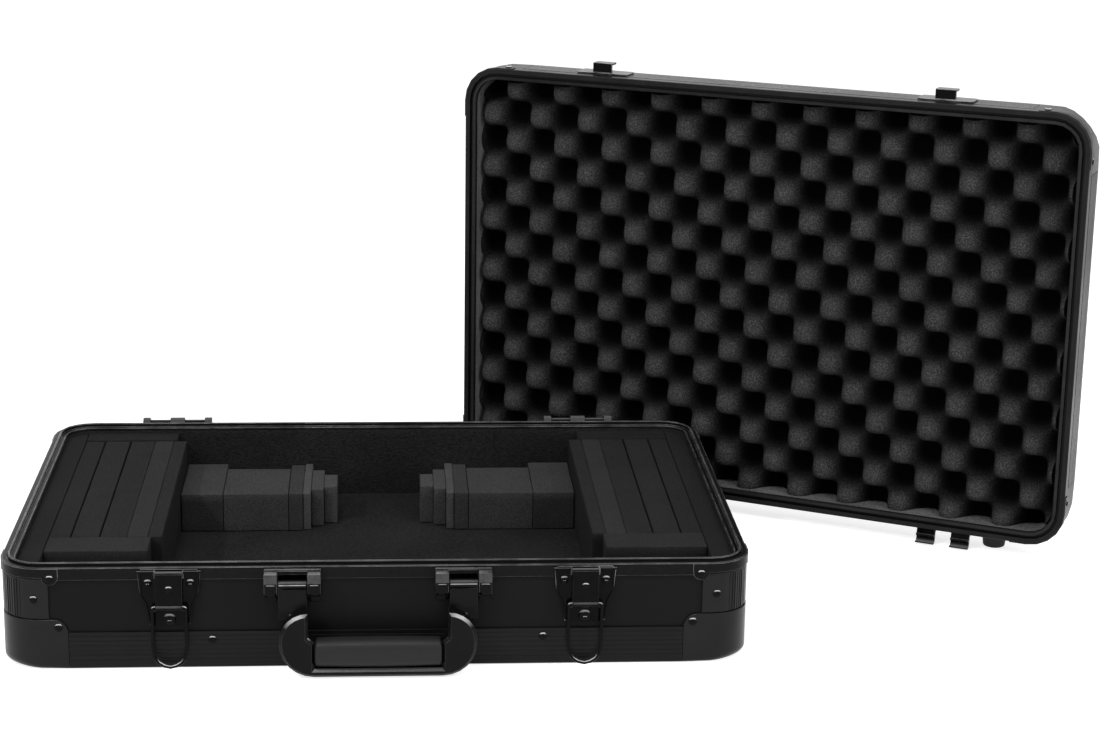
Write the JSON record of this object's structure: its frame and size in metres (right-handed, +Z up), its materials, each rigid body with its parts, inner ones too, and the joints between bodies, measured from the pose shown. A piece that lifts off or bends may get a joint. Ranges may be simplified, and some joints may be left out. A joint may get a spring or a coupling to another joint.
{
  "type": "flight case",
  "caption": "Shallow black flight case with rounded metal corners, foam-filled tray, draw latches, swinging handle, and a lift-off lid with egg-crate foam that stands beside it.",
  "frame": {"origin": "centre of the tray's underside", "axes": "+X to the right seen from the latches, +Y to the hinges, +Z up; the tray lies on its underside and the lid stands beside it on its rear feet"},
  "size_m": [1.0311, 0.6224, 0.4637],
  "materials": {
    "panel": "satin black laminate with a fine grain",
    "anodised_trim": "black anodised extrusion, satin",
    "corner_metal": "black, semi-gloss",
    "hardware": "gloss black plated steel",
    "grip": "black, fine leather grain",
    "foot_rubber": "matt black",
    "foam": "charcoal open-cell foam",
    "felt": "black needled felt"
  },
  "bodies": {
    "base": {"base_floor_panel": "panel", "base_wall_front": "panel", "base_wall_rear": "panel", "base_wall_left": "panel", "base_wall_right": "panel", "base_rim": "anodised_trim", "base_edge_front": "anodised_trim", "base_edge_rear": "anodised_trim", "base_edge_left": "anodised_trim", "base_edge_right": "anodised_trim", "base_post_front_left": "corner_metal", "base_post_front_right": "corner_metal", "base_post_rear_left": "corner_metal", "base_post_rear_right": "corner_metal", "base_cap_front_left": "corner_metal", "base_cap_front_right": "corner_metal", "base_cap_rear_left": "corner_metal", "base_cap_rear_right": "corner_metal", "base_hinge_left": "hardware", "base_hinge_right": "hardware", "latch_plate_left": "hardware", "latch_plate_right": "hardware", "handle_bracket_left": "hardware", "handle_bracket_right": "hardware", "base_foot_left": "foot_rubber", "base_foot_right": "foot_rubber", "foam_end_left": "foam", "foam_end_right": "foam", "foam_block_outer_left": "foam", "foam_block_outer_right": "foam", "foam_block_middle_left": "foam", "foam_block_middle_right": "foam", "foam_block_nose_left": "foam", "foam_block_nose_right": "foam", "base_lining": "felt", "base_floor_mat": "felt"},
    "handle": {"handle_frame": "hardware", "handle_grip": "grip"},
    "latch_lever_left": {"latch_lever_left": "hardware"},
    "latch_bail_left": {"latch_bail_left": "hardware"},
    "latch_lever_right": {"latch_lever_right": "hardware"},
    "latch_bail_right": {"latch_bail_right": "hardware"},
    "lid": {"lid_top_panel": "panel", "lid_wall_frame": "panel", "lid_rim": "anodised_trim", "lid_edge_front": "anodised_trim", "lid_edge_rear": "anodised_trim", "lid_edge_left": "anodised_trim", "lid_edge_right": "anodised_trim", "lid_cap_front_left": "corner_metal", "lid_cap_front_right": "corner_metal", "lid_cap_rear_left": "corner_metal", "lid_cap_rear_right": "corner_metal", "lid_catch_left": "hardware", "lid_catch_right": "hardware", "lid_hook_left": "hardware", "lid_hook_right": "hardware", "lid_foot_left": "foot_rubber", "lid_foot_right": "foot_rubber", "lid_foam": "foam"}
  },
  "joints": [
    {"name": "handle_swing", "type": "hinge", "parent": "base", "child": "handle", "pos_m": [0, -0.227, 0.08], "axis": [-1, 0, 0], "range_deg": [0, 150]},
    {"name": "latch_lever_left", "type": "hinge", "parent": "base", "child": "latch_lever_left", "pos_m": [-0.1815, -0.2224, 0.0893], "axis": [-1, 0, 0], "range_deg": [0, 60]},
    {"name": "latch_bail_left", "type": "hinge", "parent": "latch_lever_left", "child": "latch_bail_left", "pos_m": [-0.1815, -0.2256, 0.0595], "axis": [-1, 0, 0], "range_deg": [0, 180]},
    {"name": "latch_lever_right", "type": "hinge", "parent": "base", "child": "latch_lever_right", "pos_m": [0.1815, -0.2224, 0.0893], "axis": [-1, 0, 0], "range_deg": [0, 60]},
    {"name": "latch_bail_right", "type": "hinge", "parent": "latch_lever_right", "child": "latch_bail_right", "pos_m": [0.1815, -0.2256, 0.0595], "axis": [-1, 0, 0], "range_deg": [0, 180]},
    {"name": "lid_lift", "type": "slide", "parent": "base", "child": "lid", "axis": [0, 0, 1], "range_m": [0, 0.35]}
  ]
}
